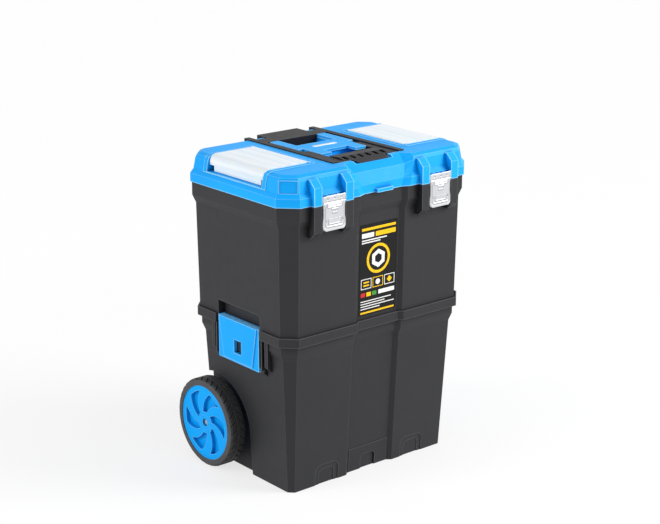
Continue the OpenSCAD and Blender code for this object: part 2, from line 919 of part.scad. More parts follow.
// The lid's centre panel widens upwards in one plane, and ends in a ramp under the grip's nose
lid_half_low = 46;
lid_half_top = 67;
lid_slant = 15;
ramp_h = 16;
ramp_run = 22;
z_ramp = z_top - ramp_h;
ramp_out = mix(side_out, crown_out, (z_ramp - z_side) / side_h);
bulge_in = 0.25;
bulge_up = 0.6;
bulge_out = mix(crown_out, -top_in, bulge_in);
z_bulge = mix(z_crown, z_top, bulge_up);

function lid_half(z) = mix(lid_half_low, lid_half_top, (z - z_lid) / (z_top - z_lid));
function plane_out(z) = mix(skirt_out, ramp_out, (z - z_ledge) / (z_ramp - z_ledge));
function lid_set(o, z) = z < z_side ? panel_set :
    z < z_ramp ? o - plane_out(z) + panel_set :
    o - ramp_out + panel_set + (z - z_ramp) * ramp_run / ramp_h;
function lid_level(o, z, skin, drop) = [o - skin, z - drop, lid_half(z), lid_slant, lid_set(o, z)];

module lid_outer() {
    loft([lid_level(skirt_out, z_lid, 0, 0), lid_level(skirt_out, z_ledge, 0, 0),
        lid_level(side_out, z_side, 0, 0), lid_level(ramp_out, z_ramp, 0, 0),
        lid_level(crown_out, z_crown, 0, 0), lid_level(bulge_out, z_bulge, 0, 0),
        lid_level(-top_in, z_top, 0, 0)]);
}

module lid_inner() {
    loft([lid_level(skirt_out, z_lid, wall, over), lid_level(skirt_out, z_ledge, wall, wall / 2),
        lid_level(side_out, z_side, wall, wall / 2), lid_level(ramp_out, z_ramp, wall, wall),
        lid_level(crown_out, z_crown, wall, wall), lid_level(-top_in, z_top, wall, wall)]);
}

// Shallow panel set into each corner of the lid above its ledge
module corner_panels() {
    mid = chamfer(side_out) / 2;
    lean = atan2(side_out - crown_out, side_h);
    for (sx = [-1, 1])
        for (sy = [-1, 1])
            translate([sx * (half_w(side_out) - mid), sy * (half_d(side_out) - mid), z_side])
                rotate([0, -lean, atan2(sy, sx)])
                    translate([-corner_panel_d, -corner_panel_w / 2, corner_panel_up])
                        cube([corner_panel_d + over, corner_panel_w, corner_panel_h]);
}

// Footprint of the raised rim round a cover, round at its inner corners
module rim_outline() {
    low = org_x - rim_w;
    l = org_l + 2 * rim_w;
    translate([low, -l / 2 + rim_r])
        square([case_w, l - 2 * rim_r]);
    translate([low + rim_r, -l / 2])
        square([case_w, l]);
    for (s = [-1, 1])
        translate([low + rim_r, s * (l / 2 - rim_r)])
            circle(r = rim_r);
}

// Raised rims that follow the lid's outside from the deck down to the ledge
module cover_rims() {
    intersection() {
        loft([lid_level(side_out, z_side, -rim_up, 0), lid_level(ramp_out, z_ramp, -rim_up, 0),
            lid_level(crown_out, z_crown, -rim_up, 0), lid_level(bulge_out, z_bulge, -rim_up, -rim_up),
            lid_level(-top_in, z_top, -rim_up, -rim_up)]);
        both_sides()
            translate([0, 0, z_side])
                linear_extrude(z_top - z_side + 2 * rim_up)
                    rim_outline();
    }
}

module lid_tubs() {
    span([-notch_w / 2 - tub_t, -half_d(0), z_top - notch_drop - tub_t],
        [notch_w / 2 + tub_t, well_front, z_top]);
    both_sides()
        span([org_x - tub_t, -org_l / 2 - tub_t, pocket_z - tub_t],
            [half_w(skirt_out), org_l / 2 + tub_t, z_top]);
    span([-deck_w / 2 - wall, -deck_front - wall, z_bed - wall], [deck_w / 2 + wall, half_d(0), z_top]);
    span([-well_w / 2 - tub_t, well_front - tub_t, well_z - tub_t],
        [well_w / 2 + tub_t, bridge_step + tub_t, z_top]);
    span([-hole_w / 2 - tub_t, hole_front - tub_t, hole_z - tub_t],
        [hole_w / 2 + tub_t, hole_rear + tub_t, z_top]);
    both_sides()
        span([well_w / 2, rod_y - arm_t, rod_z - arm_t / 2], [well_w / 2 + arm_t, rod_y + arm_t, z_bed]);
}

module lid_cuts() {
    both_sides()
        span([org_x, -org_l / 2, pocket_z], [case_w, org_l / 2, case_w * 2]);
    span([-deck_w / 2 - bed_gap, -deck_front - bed_gap, z_bed],
        [deck_w / 2 + bed_gap, slot_y + bed_gap, z_top + over]);
    span([-slot_in - bed_gap, slot_y, z_bed], [slot_in + bed_gap, case_d, z_top + over]);
    both_sides()
        span([deck_w / 2 - rail_w - bed_gap, slot_y, z_bed], [deck_w / 2 + bed_gap, case_d, z_top + over]);
    span([-well_w / 2, well_front, well_z], [well_w / 2, bridge_step, z_top + over]);
    span([-hole_w / 2, hole_front, hole_z], [hole_w / 2, hole_rear, z_top + over]);
    span([-notch_w / 2, -half_d(0), z_top - notch_drop], [notch_w / 2, well_front + over, z_top + over]);
    bar_x(-well_w / 2 - arm_t / 2, well_w / 2 + arm_t / 2, rod_y, rod_z, rod_d + 2 * fit);
    both_sides()
        bar_y(org_l + 2 * ear_l - over, cover_axis_x, cover_axis_z, org_pin_d + 2 * fit);
    corner_panels();
    both_sides() hinge_bores();
    screw_places() cylinder(h = z_top, d = screw_d + 2 * fit);
}

module lid_ears() {
    both_sides()
        for (y = [-org_l / 2 - ear_l, org_l / 2])
            span([cover_axis_x - ear_w / 2, y, z_bed - wall],
                [cover_axis_x + ear_w / 2, y + ear_l, z_top + ear_up]);
}

module lid() {
    color("#2aa6f7")
        difference() {
            union() {
                difference() {
                    union() {
                        lid_outer();
                        cover_rims();
                        cheek_pair(z_lid, z_crown + cheek_over, 0, lid_cheek_run, -half_d(-top_in));
                    }
                    lid_inner();
                }
                intersection() {
                    lid_outer();
                    lid_tubs();
                }
                both_sides() lid_knuckle();
                lid_ears();
                span([-hasp_w / 2, front_skirt + panel_set - hasp_out, z_lid],
                    [hasp_w / 2, front_skirt + panel_set + wall / 2, z_lid + hasp_h]);
            }
            lid_cuts();
        }
}

// Black panel round the handle: two rails and a rear grab bar over the lid's rear edge
slot_edge = 2;
slot_in = hole_w / 2 + slot_edge;
slot_y = 126;
deck_rear = half_d(deck_over);
apron_t = 7.5;
apron_h = 16;
hang_t = 2.2;
hang_gap = 0.3;

module lid_panel() {
    inner = deck_w / 2 - rail_w;
    hang_x = hole_w / 2 - hang_gap;
    color("#26272a")
        difference() {
            union() {
                both_sides()
                    span([inner, -deck_front, z_bed], [deck_w / 2, deck_rear - apron_t, z_deck]);
                span([-deck_w / 2, hole_rear, z_bed], [deck_w / 2, slot_y, z_deck]);
                span([-slot_in, hole_rear, z_bed], [slot_in, deck_rear, z_deck]);
                span([-slot_in, deck_rear - apron_t, z_deck - apron_h], [slot_in, deck_rear, z_deck]);
                span([-hang_x, hole_rear - hang_gap - hang_t, hole_z + hang_gap],
                    [hang_x, hole_rear - hang_gap, z_deck]);
                span([-hang_x, hole_rear - hang_gap - hang_t, z_bed], [hang_x, hole_rear + over, z_deck]);
            }
            screw_places() cylinder(h = z_bed + bed_d, d = screw_d + 2 * fit);
        }
}

// Screws up through the lid's bed into the panel and the bridge
screw_d = 3;
screw_head_d = 7;
screw_head_t = 2;
rail_screw_x = deck_w / 2 - rail_w / 2;
bridge_screw_x = (hole_w / 2 + bridge_ear) / 2;
rail_screw_y = [-95, -30, 60];
bridge_screw_y = [30, 84];
panel_screw_spots = [for (s = [-1, 1]) for (y = rail_screw_y) [s * rail_screw_x, y]];
bridge_screw_spots = [for (s = [-1, 1]) for (y = bridge_screw_y) [s * bridge_screw_x, y]];

module screw_places() {
    for (p = concat(panel_screw_spots, bridge_screw_spots))
        translate([p[0], p[1], 0]) children();
}

module screw_set(spots) {
    for (p = spots)
        translate([p[0], p[1], z_bed - wall - screw_head_t]) {
            cylinder(h = screw_head_t, d = screw_head_d);
            cylinder(h = screw_head_t + wall + bed_d, d = screw_d);
        }
}

module panel_screws() {
    color("#8d9094") screw_set(panel_screw_spots);
}

module bridge_screws() {
    color("#8d9094") screw_set(bridge_screw_spots);
}

// Blue bridge that holds the handle's rod
bridge_t = 5.5;
bridge_front = 43;
bridge_foot = 12;
scallop_w = 60;
scallop_d = 24;
badge_w = 56;
badge_d = 9;
badge_t = 1.2;
badge_y = 14;
badge_in = 0.8;

module handle_bridge() {
    color("#2aa6f7")
        difference() {
            union() {
                span([-bridge_w / 2, -bridge_front, z_bed],
                    [bridge_w / 2, hole_front, z_bed + bridge_t]);
                both_sides()
                    span([hole_w / 2, bridge_step, z_bed],
                        [bridge_ear, hole_rear - bed_gap, z_bed + bridge_t]);
                span([-bridge_w / 2, bridge_step - 2 * bridge_foot, well_z],
                    [bridge_w / 2, bridge_step - over, z_bed + bridge_t]);
            }
            span([-scallop_w / 2, -bridge_front - over, z_bed - over],
                [scallop_w / 2, -bridge_front + scallop_d, z_bed + bridge_t + over]);
            span([-badge_w / 2, badge_y - badge_d / 2, z_bed + bridge_t - badge_in],
                [badge_w / 2, badge_y + badge_d / 2, z_bed + bridge_t + over]);
            bar_x(-bridge_w, bridge_w, rod_y, rod_z, rod_d + 2 * fit);
            screw_places() cylinder(h = z_bed + bed_d, d = screw_d + 2 * fit);
        }
}

module badge_plate() {
    z = z_bed + bridge_t - badge_in;
    color("#c9ccd0")
        span([-badge_w / 2 + fit, badge_y - badge_d / 2 + fit, z],
            [badge_w / 2 - fit, badge_y + badge_d / 2 - fit, z + badge_t]);
}

module handle_rod() {
    reach = well_w / 2 + arm_t / 2 - over;
    color("#b4b7bb") bar_x(-reach, reach, rod_y, rod_z, rod_d);
}

grip_up = 3.5;
grip_back = 1.5;
grip_crest = 26;
grip_low = 3;
crest_y = -grip_rear - grip_crest;
bar_front = -deck_front + 2 * swing_gap;
nose_rear = bar_front + swing_gap;
nose_gap = 0.4;
nose_fall = 2.2;
nose_cut = 10;
nose_low = z_top - notch_drop + nose_gap;
groove_w = 9.5;
groove_l = 9;
groove_d = 6;
groove_in = 4;
arm_up = 0.3;
arm_free = 11;

function grip_z(y) = z_top + mix(grip_up, -nose_fall, (crest_y - y) / (crest_y + grip_front));

// Outline of the grip over the bar, seen from its end
module grip_outline() {
    polygon([
        [-grip_rear, z_top - grip_low], [-grip_rear, z_top + grip_back], [crest_y, z_top + grip_up],
        [bar_front, grip_z(bar_front)], [bar_front, z_top - grip_low]
    ]);
}

// Nose of the grip through the lid's notch, narrower at its lower edge
module grip_nose() {
    intersection() {
        along_x(-nose_w / 2, nose_w)
            polygon([
                [nose_rear, nose_low], [nose_rear, grip_z(nose_rear)],
                [-grip_front, grip_z(-grip_front)], [-grip_front, nose_low]
            ]);
        translate([0, nose_rear, 0])
            rotate([90, 0, 0])
                linear_extrude(grip_front)
                    polygon([
                        [-nose_w / 2, z_top + grip_up], [-nose_w / 2 + nose_cut, nose_low],
                        [nose_w / 2 - nose_cut, nose_low], [nose_w / 2, z_top + grip_up]
                    ]);
    }
}

// Outline of one groove of the grip, round at both ends
module groove() {
    translate([-groove_w / 2, -groove_l - groove_in])
        square([groove_w, groove_l]);
    for (y = [-groove_in, -groove_l - groove_in])
        translate([0, y])
            circle(d = groove_w);
}

module carry_handle() {
    slope = atan2(grip_up + nose_fall, crest_y + grip_front);
    color("#26272a")
        difference() {
            union() {
                both_sides() {
                    span([handle_w / 2 - arm_w, bar_front, rod_z - arm_t / 2],
                        [handle_w / 2, rod_y, rod_z + arm_t / 2]);
                    span([handle_w / 2 - arm_w, bar_front, rod_z],
                        [handle_w / 2, rod_y - arm_free, z_top + arm_up]);
                    bar_x(handle_w / 2 - arm_w, handle_w / 2, rod_y, rod_z, arm_t);
                }
                span([-handle_w / 2, bar_front, rod_z + over],
                    [handle_w / 2, -grip_rear, z_top]);
                along_x(-grip_l / 2, grip_l) grip_outline();
                grip_nose();
            }
            bar_x(-handle_w, handle_w, rod_y, rod_z, rod_d + 2 * wheel_fit);
            for (k = [0:grip_n - 1])
                translate([(k + 0.5 - grip_n / 2) * grip_l / grip_n, crest_y, z_top + grip_up])
                    rotate([slope, 0, 0])
                        translate([0, 0, -groove_d])
                            linear_extrude(2 * groove_d)
                                groove();
        }
}

// Clear organiser cover on a pin along its inner edge, with a hanging flap
flap_gap = 1;
flap_t = 2;
skirt_up = 12;

module organizer_cover(side) {
    l = org_l - 2 * swing_gap;
    bend_x = half_w(crown_out) - cover_r - wall;
    low = pocket_z + skirt_up;
    top = z_top + cover_t;
    color("#e8eef2", 0.6)
        on_side(side)
            difference() {
                union() {
                    along_y(l) {
                        translate([cover_axis_x, z_top])
                            square([bend_x - cover_axis_x, cover_t]);
                        translate([bend_x, top - cover_r])
                            intersection() {
                                difference() {
                                    circle(r = cover_r);
                                    circle(r = cover_r - cover_t);
                                }
                                square(cover_r + over);
                            }
                        translate([bend_x + cover_r - cover_t, low])
                            square([cover_t, top - cover_r - low]);
                    }
                    bar_y(l, cover_axis_x, cover_axis_z, cover_t);
                    along_y(flap_l)
                        translate([bend_x + cover_r - cover_t, pocket_z + flap_gap])
                            square([flap_t, low - pocket_z]);
                }
                bar_y(org_l, cover_axis_x, cover_axis_z, org_pin_d + 2 * wheel_fit);
            }
}

module organizer_pin(side) {
    color("#b4b7bb")
        on_side(side) bar_y(org_l + 2 * ear_l - over - fit, cover_axis_x, cover_axis_z, org_pin_d);
}

lower_bin();
upper_box();
lid();
lid_panel();
panel_screws();
handle_bridge();
bridge_screws();
badge_plate();
carry_handle();
handle_rod();
organizer_cover(-1);  // organizer_cover_left
organizer_cover(1);  // organizer_cover_right
organizer_pin(-1);  // organizer_pin_left
organizer_pin(1);  // organizer_pin_right
lid_hinge_pins();
latch_base_pins();
latch_link(-1);  // latch_link_left
latch_link(1);  // latch_link_right
latch_link_pin(-1);  // latch_link_pin_left
latch_link_pin(1);  // latch_link_pin_right
latch_lever(-1);  // latch_lever_left
latch_lever(1);  // latch_lever_right
side_clip(-1);  // side_clip_left
side_clip(1);  // side_clip_right
clip_pins();
axle();
axle_push_nuts();
wheel_washers();
wheel_rim(-1);  // wheel_rim_left
wheel_rim(1);  // wheel_rim_right
tyre(-1);  // tyre_left
tyre(1);  // tyre_right
front_label();
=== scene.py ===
"""Looks of a two-tier rolling tool case: finishes, and modelled latches, tyres, label and clip ridges."""
import json
import math

import bpy
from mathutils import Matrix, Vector


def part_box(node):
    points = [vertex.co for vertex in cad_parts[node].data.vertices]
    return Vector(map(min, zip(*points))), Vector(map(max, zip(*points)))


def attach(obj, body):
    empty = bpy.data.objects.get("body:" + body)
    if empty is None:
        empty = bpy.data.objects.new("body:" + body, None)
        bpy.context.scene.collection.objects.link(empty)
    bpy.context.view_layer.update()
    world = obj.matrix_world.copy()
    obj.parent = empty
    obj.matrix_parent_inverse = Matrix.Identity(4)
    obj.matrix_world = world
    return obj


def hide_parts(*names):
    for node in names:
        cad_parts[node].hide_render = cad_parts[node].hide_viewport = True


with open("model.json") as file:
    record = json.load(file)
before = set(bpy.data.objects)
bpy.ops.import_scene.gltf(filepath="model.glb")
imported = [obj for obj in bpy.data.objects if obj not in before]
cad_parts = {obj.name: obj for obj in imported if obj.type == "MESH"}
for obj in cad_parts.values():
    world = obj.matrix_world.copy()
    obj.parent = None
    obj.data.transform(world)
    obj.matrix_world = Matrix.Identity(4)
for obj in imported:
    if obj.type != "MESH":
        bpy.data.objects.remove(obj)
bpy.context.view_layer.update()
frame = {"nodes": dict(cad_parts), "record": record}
nodes = frame["nodes"]
MM = 0.001
SIDES = ("left", "right")


# Material helpers

# Shares of open surroundings between which a point counts as edge or flat, and as recess or open, for the
# painted edge highlight and the painted shade in recesses
EDGE_RANGE = (0.68, 0.97)
HOLLOW_RANGE = (0.35, 0.95)


def linear(red, green, blue):
    """A colour written as 0 to 255 screen values, in Blender's linear light."""
    def channel(c):
        c /= 255
        return c / 12.92 if c <= 0.04045 else ((c + 0.055) / 1.055) ** 2.4
    return channel(red), channel(green), channel(blue), 1.0


def shade(colour, factor):
    return tuple(min(1.0, c * factor) for c in colour[:3]) + (1.0,)


class Finish:
    """A node material being built, with its principled shader at hand."""

    def __init__(self, name):
        self.material = bpy.data.materials.new(name)
        self.material.use_nodes = True
        self.tree = self.material.node_tree
        self.shader = self.tree.nodes["Principled BSDF"]
        self.place = self.add("ShaderNodeTexCoord").outputs["Object"]

    def add(self, kind, **values):
        node = self.tree.nodes.new(kind)
        for key, value in values.items():
            if hasattr(node, key):
                setattr(node, key, value)
            else:
                node.inputs[key].default_value = value
        return node

    def join(self, output, target):
        self.tree.links.new(output, target)

    def noise(self, scale, detail=3.0, rough=0.5, stretch=None):
        node = self.add("ShaderNodeTexNoise", Scale=scale, Detail=detail, Roughness=rough)
        place = self.place
        if stretch:
            squeeze = self.add("ShaderNodeMapping", Scale=stretch)
            self.join(place, squeeze.inputs["Vector"])
            place = squeeze.outputs["Vector"]
        self.join(place, node.inputs["Vector"])
        return node.outputs["Fac"]

    def ramp(self, value, *stops):
        """A colour between two stops, each a place and its colour."""
        node = self.add("ShaderNodeValToRGB")
        for element, (where, colour) in zip(node.color_ramp.elements, stops):
            element.position = where
            element.color = colour
        self.join(value, node.inputs["Fac"])
        return node.outputs["Color"]

    def spread(self, value, low, high, source=(0.0, 1.0)):
        node = self.add("ShaderNodeMapRange")
        node.inputs["From Min"].default_value, node.inputs["From Max"].default_value = source
        node.inputs["To Min"].default_value = low
        node.inputs["To Max"].default_value = high
        self.join(value, node.inputs["Value"])
        return node.outputs["Result"]

    def mix(self, factor, first, second):
        node = self.add("ShaderNodeMix", data_type="RGBA")
        for source, target in ((factor, node.inputs[0]), (first, node.inputs[6]), (second, node.inputs[7])):
            if isinstance(source, bpy.types.NodeSocket):
                self.join(source, target)
            else:
                target.default_value = source
        return node.outputs[2]

    def edges(self, reach):
        """1 along the piece's outer edges, 0 on its flats, within a reach in millimetres."""
        node = self.add("ShaderNodeAmbientOcclusion", samples=6, inside=True, only_local=True,
                        Distance=reach * MM)
        return self.spread(node.outputs["AO"], 1.0, 0.0, EDGE_RANGE)

    def hollow_shade(self, reach, dark):
        """Painted shade: 1 in the open, down to a dark share in the piece's own recesses, within a reach in
        millimetres.
        """
        node = self.add("ShaderNodeAmbientOcclusion", samples=8, only_local=True, Distance=reach * MM)
        return self.spread(node.outputs["AO"], dark, 1.0, HOLLOW_RANGE)

    def times(self, colour, factor):
        """A colour darkened by a factor."""
        node = self.add("ShaderNodeMix", data_type="RGBA", blend_type="MULTIPLY")
        node.inputs[0].default_value = 1.0
        self.join(colour, node.inputs[6])
        self.join(factor, node.inputs[7])
        return node.outputs[2]

    def bump(self, height, strength, distance):
        """Fine relief from a height, over a distance in millimetres."""
        node = self.add("ShaderNodeBump", Strength=strength, Distance=distance * MM)
        self.join(height, node.inputs["Height"])
        self.join(node.outputs["Normal"], self.shader.inputs["Normal"])

    def set(self, **values):
        for key, value in values.items():
            self.shader.inputs[key.replace("_", " ")].default_value = value

    def link(self, name, output):
        self.join(output, self.shader.inputs[name])


def moulded_plastic(name, colour, highlight_colour, rough, grain, gloss, deep, edge=1.4, recess=9):
    """Injection-moulded plastic: fine spark grain, slow mottling, paler edges from a painted highlight broken
    up like wear, and painted shade in recesses.
    """
    f = Finish(name)
    mottle_and_shade = f.ramp(f.noise(7, 4), (0.3, shade(colour, 0.93)), (0.7, shade(colour, 1.06)))
    # Painted shade: the mottled colour is darkened in the piece's own recesses
    mottle_and_shade = f.times(mottle_and_shade, f.hollow_shade(recess, deep))
    # Painted highlight along the piece's edges, broken into patches like wear by a noise
    highlight_and_wear = f.add("ShaderNodeMath", operation="MULTIPLY")
    f.join(f.edges(edge), highlight_and_wear.inputs[0])
    f.join(f.spread(f.noise(60, 2), 0.45, 1.0), highlight_and_wear.inputs[1])
    f.link("Base Color", f.mix(highlight_and_wear.outputs[0], mottle_and_shade, highlight_colour))
    f.set(Specular_IOR_Level=gloss)
    f.link("Roughness", f.spread(f.noise(45, 3), rough - 0.06, rough + 0.08))
    f.bump(f.noise(grain, 2, 0.6), 0.22, 0.25)
    return f.material


def clear_plastic(name):
    """Milky plastic that lets a little light through, with faint drawn lines from front to rear."""
    f = Finish(name)
    lines = f.noise(150, 3, 0.6, (1, 0.03, 1))
    f.link("Base Color", f.ramp(lines, (0.35, linear(226, 237, 246)), (0.6, linear(241, 247, 252))))
    f.set(Transmission_Weight=0.06, IOR=1.49, Specular_IOR_Level=0.15)
    f.set(Subsurface_Weight=0.2, Subsurface_Scale=3 * MM)
    f.link("Roughness", f.spread(f.noise(60, 3), 0.48, 0.6))
    f.bump(lines, 0.12, 0.3)
    return f.material


def plated_metal(name, colour, rough, streak, shade_from=None):
    """Bright plated or drawn metal with fine streaks and a little haze, with painted shade along a mesh's
    pressed lines.
    """
    f = Finish(name)
    plate = f.ramp(f.noise(40, 3), (0.3, shade(colour, 0.92)), (0.7, colour))
    # Painted shade in the pressed lines, read from a mesh attribute
    if shade_from:
        pressed_shade = f.add("ShaderNodeAttribute", attribute_name=shade_from)
        plate = f.times(plate, f.spread(pressed_shade.outputs["Fac"], 1.0, 0.2))
    f.link("Base Color", plate)
    f.set(Metallic=1.0)
    lines = f.noise(900, 2, 0.5, streak)
    f.link("Roughness", f.spread(lines, rough - 0.05, rough + 0.1))
    f.bump(lines, 0.08, 0.1)
    return f.material


def tyre_rubber(name, low, high, pale_edge):
    """Matt rubber, greyer where it has dusted up, with paler edges and painted shade in its recesses."""
    f = Finish(name)
    dust_and_shade = f.ramp(f.noise(30, 5), (0.35, low), (0.75, high))
    # Painted shade: darker in the tyre's own recesses
    dust_and_shade = f.times(dust_and_shade, f.hollow_shade(3, 0.4))
    f.link("Base Color", f.mix(f.edges(0.8), dust_and_shade, pale_edge))
    f.link("Roughness", f.spread(f.noise(70, 3), 0.6, 0.82))
    f.bump(f.noise(1200, 2), 0.25, 0.3)
    return f.material


def printed_film(name, colour):
    """Glossy printed film, with a trace of ink grain."""
    f = Finish(name)
    f.link("Base Color", f.ramp(f.noise(500, 2), (0.3, shade(colour, 0.93)), (0.7, shade(colour, 1.04))))
    f.link("Roughness", f.spread(f.noise(25, 3), 0.29, 0.42))
    f.set(Specular_IOR_Level=0.22)
    f.bump(f.noise(300, 2), 0.05, 0.1)
    return f.material


BLUE = linear(0, 166, 252)
# Pale blue of the painted edge highlight
HIGHLIGHT_BLUE = linear(168, 229, 255)
CHARCOAL = linear(39, 39, 42)

finishes = {
    "shell_black": moulded_plastic("shell_plastic", CHARCOAL, highlight_colour=linear(92, 93, 97), rough=0.52,
                                   grain=1500, gloss=0.3, recess=12, deep=0.25),
    "lid_blue": moulded_plastic("lid_plastic", BLUE, highlight_colour=HIGHLIGHT_BLUE, rough=0.48, grain=1700, gloss=0.2,
                                edge=1.7, deep=0.6),
    "panel_black": moulded_plastic("panel_plastic", linear(18, 18, 21), highlight_colour=linear(78, 79, 84), rough=0.5,
                                   grain=1600, gloss=0.2, deep=0.2),
    "clear_cover": clear_plastic("cover_plastic"),
    "latch_steel": plated_metal("latch_plating", linear(214, 216, 219), 0.36, (1, 1, 0.06), "pressed_shade"),
    "pin_steel": plated_metal("pin_steel", linear(178, 180, 183), 0.32, (0.05, 1, 1)),
    "badge_metal": plated_metal("badge_metal", linear(226, 228, 230), 0.45, (0.04, 1, 1)),
    "wheel_blue": moulded_plastic("wheel_plastic", BLUE, highlight_colour=HIGHLIGHT_BLUE, rough=0.48, grain=1700, gloss=0.1,
                                  edge=0.8, recess=26, deep=0.7),
    "tyre_black": tyre_rubber("tyre_tread", linear(22, 22, 24), linear(38, 38, 40), linear(70, 70, 71)),
    "label_film": printed_film("label_ground", linear(12, 12, 13)),
}
sidewall = tyre_rubber("tyre_sidewall", linear(62, 62, 64), linear(74, 74, 76), linear(96, 96, 97))
inks = [
    finishes["label_film"],
    printed_film("label_yellow", linear(247, 196, 0)),
    printed_film("label_white", linear(238, 238, 236)),
    printed_film("label_red", linear(205, 40, 38)),
    printed_film("label_green", linear(70, 150, 60)),
]


# The moulded parts keep their CAD shape, with the mould's small edge radii

def weld(piece, name, reach):
    """Joins points that lie closer than a reach in millimetres."""
    piece.modifiers.new(name, "WELD").merge_threshold = reach * MM


# How close points are joined before and after the edges are rounded, and the angles of flats and edges
SEAM, SLIVER = 0.002, 0.01
FLAT_ANGLE, SHARP_ANGLE = math.radians(0.5), math.radians(28)


def dress(node, bevel):
    """Finish of the node's slot, and edges rounded by a bevel given in millimetres."""
    piece = nodes[node]
    slot = next(s["material_slot"] for s in frame["record"]["subparts"] if s["node"] == node)
    piece.data.materials.clear()
    piece.data.materials.append(finishes[slot])
    weld(piece, "seams", SEAM)
    flats = piece.modifiers.new("flats", "DECIMATE")
    flats.decimate_type = "DISSOLVE"
    flats.angle_limit = FLAT_ANGLE
    edge = piece.modifiers.new("edge", "BEVEL")
    edge.width = bevel * MM
    edge.segments = 2
    edge.limit_method = "ANGLE"
    edge.angle_limit = SHARP_ANGLE
    edge.harden_normals = True
    weld(piece, "slivers", SLIVER)
    even = piece.modifiers.new("even", "WEIGHTED_NORMAL")
    even.keep_sharp = True


EDGE_RADII = {
    "lower_bin": 1.0, "upper_box": 1.0, "lid": 0.6, "lid_panel": 0.8, "handle_bridge": 0.7,
    "carry_handle": 0.8, "badge_plate": 0.25, "organizer_cover_left": 0.5, "organizer_cover_right": 0.5,
    "side_clip_left": 0.5, "side_clip_right": 0.5, "wheel_rim_left": 0.6, "wheel_rim_right": 0.6,
}
STEEL_RADIUS = 0.2
for name in nodes:
    dress(name, EDGE_RADII.get(name, STEEL_RADIUS))


# Pieces modelled here, each in the place of its CAD node

def mesh_piece(name, points, faces, materials, picks=None, sharp=35):
    """Object from points in millimetres, with one material index a face."""
    mesh = bpy.data.meshes.new(name)
    mesh.from_pydata([tuple(c * MM for c in point) for point in points], [], faces)
    for material in materials:
        mesh.materials.append(material)
    if picks:
        mesh.polygons.foreach_set("material_index", picks)
    mesh.polygons.foreach_set("use_smooth", [True] * len(faces))
    mesh.set_sharp_from_angle(angle=math.radians(sharp))
    mesh.update()
    piece = bpy.data.objects.new(name, mesh)
    bpy.context.scene.collection.objects.link(piece)
    return piece


def grid_faces(rows, columns, start=0, wrap=False):
    """Quads over points that were added row by row."""
    faces = []
    for r in range(rows - 1):
        for c in range(columns if wrap else columns - 1):
            d = (c + 1) % columns
            faces.append((start + r * columns + c, start + r * columns + d,
                          start + (r + 1) * columns + d, start + (r + 1) * columns + c))
    return faces


def node_box(node):
    """Lowest and highest corner of a node, in millimetres."""
    return [[c / MM for c in corner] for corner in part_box(node)]


def blend(low, high, t):
    """Smooth change from low at 0 to high at 1."""
    t = min(1.0, max(0.0, t))
    return low + (high - low) * t * t * (3 - 2 * t)


def frame_distance(x, d, middle, half_w, half_h, radius):
    """How far a point lies outside a rounded rectangle, negative inside it."""
    qx = abs(x) - half_w + radius
    qd = abs(d - middle) - half_h + radius
    return math.hypot(max(qx, 0), max(qd, 0)) + min(max(qx, qd), 0) - radius


def bead(distance, width):
    """Height of a rounded ridge: 1 on its line and 0 at its edges."""
    return 0.5 + 0.5 * math.cos(math.pi * min(1.0, abs(distance) / width))


# Latch levers: pressed sheet with dimples, a crease, embossed frames and a curled lower lip

# Half widths of the sheet at its top, waist and tab, and where one changes into the next
LEVER_TOP, LEVER_WAIST, LEVER_TAB = 26.5, 24.5, 26.0
WAIST_FROM, WAIST_RUN = 12, 8
TAB_FROM, TAB_RUN = 38, 12
LEVER_H, LEVER_R = 64.0, 7.0
SHEET = 1.0
# The face lies behind the ridges' crests, and the sheet's sides are rounded and turned back
FACE_IN, SIDE_ROUND, SIDE_BACK = 0.9, 1.2, 3.2
# Rows down the sheet, on its straight part and round the tab's corners, and points across it
ROWS, STRAIGHT_ROWS, CORNER_ROWS, ACROSS = 96, 86, 10, 72
LEAST_ROW = 0.2
# Dimples near the top, a crease below them with a step, two upright slots and the lower lip, with the spread
# of painted shade round dimples and crease
DIMPLES, DIMPLE_D = (-16.0, 0.0, 16.0), 5.6
DIMPLE_DEEP, DIMPLE_SPREAD, DIMPLE_SHADE = 1.1, 1.6, 2.4
CREASE_D, CREASE_DEEP, CREASE_W, CREASE_SHADE = 11.4, 0.7, 1.1, 1.3
STEP_UP, STEP_LEAD, STEP_RUN = 0.5, 0.4, 1.5
SLOTS, SLOT_D = (-19.0, 19.0), 46.0
SLOT_HALF_W, SLOT_HALF_H, SLOT_DEEP, SLOT_EDGE = 0.9, 3.0, 1.2, 0.6
LIP_FROM, LIP_RUN, LIP_OUT = 55, 9, 0.9
# Embossed outlines: middle, half width, half height, corner radius, height and width of the ridge
LEVER_FRAMES = (
    (17.5, 17.5, 3.4, 3.2, 0.7, 1.3), (25.0, 7.5, 0.6, 0.6, 0.6, 1.2), (31.5, 5.5, 0.6, 0.6, 0.6, 1.2),
    (37.0, 21.0, 20.0, 6.0, 0.55, 1.6), (47.5, 14.0, 4.6, 1.5, 0.6, 1.1),
)
# Painted shade beside an outline: its strength, its place in ridge widths, and its width
FRAME_SHADE, SHADE_AT, SHADE_W = 0.75, 0.8, 0.9
# Claws over the lid's edge: bends at the root and the tip, as distance along and drop
CLAWS, CLAW_HALF = (-12.0, 0.0, 12.0), 3
CLAW_ROOT = ((0, 1.6), (0.5, 0.5), (1.6, 0))
CLAW_TIP = ((1.2, 0), (0.3, 0.5), (0, 1.5))
# Ears round the pin
EARS, EAR_DOWN, EAR_IN, EAR_ROOT = (-24.6, 24.6), 16, 4, 0.4
EAR_HALF, EAR_REACH, EAR_STEPS = 6, 4, 8


